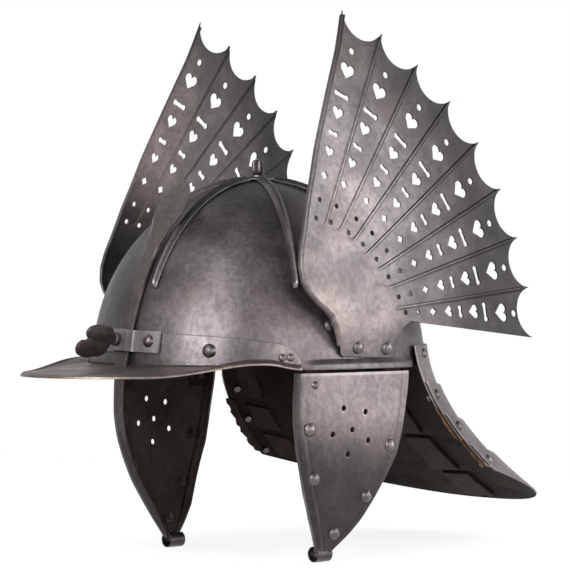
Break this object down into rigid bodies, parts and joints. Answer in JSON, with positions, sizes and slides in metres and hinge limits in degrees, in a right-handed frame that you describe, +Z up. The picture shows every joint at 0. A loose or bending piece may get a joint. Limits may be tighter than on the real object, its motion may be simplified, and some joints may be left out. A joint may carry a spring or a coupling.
{
  "type": "lobster-tail helmet",
  "caption": "Lobster-tail helmet of blackened iron with a round skull, pierced wings, sliding nasal bar, hinged cheek pieces and a jointed neck guard.",
  "frame": {"origin": "centre of the head opening, level with the rim of the skull", "axes": "+Z up through the crown, -Y the way the wearer looks, +X the wearer's left"},
  "size_m": [0.232, 0.4204, 0.3623],
  "materials": {
    "iron": "blackened and burnished, lightly pitted",
    "iron_dark": "blackened, satin",
    "iron_brown": "brown-black patina, burnished",
    "iron_rivets": "worn bright on the crowns",
    "leather": "old, dark and dry"
  },
  "bodies": {
    "helmet": {"skull": "iron", "wing_left": "iron", "wing_right": "iron", "lame_1": "iron", "nasal_bracket": "iron", "crown_star": "iron_dark", "finial": "iron_dark", "finial_nut": "iron_dark", "peak": "iron_brown", "lining_rivets": "iron_rivets", "peak_rivets": "iron_rivets", "bracket_rivets": "iron_rivets", "wing_rivets_left": "iron_rivets", "wing_rivets_right": "iron_rivets", "hanger_rivets_left": "iron_rivets", "hanger_rivets_right": "iron_rivets", "lame_rivets_1": "iron_rivets", "cheek_hangers_left": "leather", "cheek_hangers_right": "leather", "neck_leathers_1": "leather"},
    "nasal": {"nasal_bar": "iron_brown"},
    "screw": {"wing_screw": "iron_dark"},
    "cheek_l": {"cheek_left": "iron", "cheek_washers_left": "iron_dark", "cheek_rivets_left": "iron_rivets", "cheek_leathers_left": "leather"},
    "cheek_r": {"cheek_right": "iron", "cheek_washers_right": "iron_dark", "cheek_rivets_right": "iron_rivets", "cheek_leathers_right": "leather"},
    "neck_2": {"lame_2": "iron", "lame_rivets_2": "iron_rivets", "neck_leathers_2": "leather"},
    "neck_3": {"lame_3": "iron", "lame_rivets_3": "iron_rivets", "neck_leathers_3": "leather"},
    "neck_4": {"lame_4": "iron", "lame_rivets_4": "iron_rivets", "neck_leathers_4": "leather"}
  },
  "joints": [
    {"name": "nasal_slide", "type": "hinge", "parent": "helmet", "child": "nasal", "pos_m": [0, 0.1556, -0.054], "axis": [1, 0, 0], "range_deg": [0, 4]},
    {"name": "screw_turn", "type": "hinge", "parent": "helmet", "child": "screw", "pos_m": [0, -0.11527, 0.018], "axis": [0, -0.9903, 0.1392], "range_deg": [0, 360]},
    {"name": "cheek_left_swing", "type": "hinge", "parent": "helmet", "child": "cheek_l", "pos_m": [0.096, 0, -0.002], "axis": [0, -1, 0], "range_deg": [-4, 60]},
    {"name": "cheek_right_swing", "type": "hinge", "parent": "helmet", "child": "cheek_r", "pos_m": [-0.096, 0, -0.002], "axis": [0, 1, 0], "range_deg": [-4, 60]},
    {"name": "lame_2_pivot", "type": "hinge", "parent": "helmet", "child": "neck_2", "pos_m": [0, 0.06966, -0.01957], "axis": [1, 0, 0], "range_deg": [0, 2.5]},
    {"name": "lame_3_pivot", "type": "hinge", "parent": "neck_2", "child": "neck_3", "pos_m": [0, 0.08516, -0.04119], "axis": [1, 0, 0], "range_deg": [0, 2.5]},
    {"name": "lame_4_pivot", "type": "hinge", "parent": "neck_3", "child": "neck_4", "pos_m": [0, 0.10861, -0.06457], "axis": [1, 0, 0], "range_deg": [0, 2.5]}
  ],
  "couplings": [
    {"joint": "lame_3_pivot", "follows": "lame_2_pivot", "ratio": 1},
    {"joint": "lame_4_pivot", "follows": "lame_2_pivot", "ratio": 1}
  ]
}
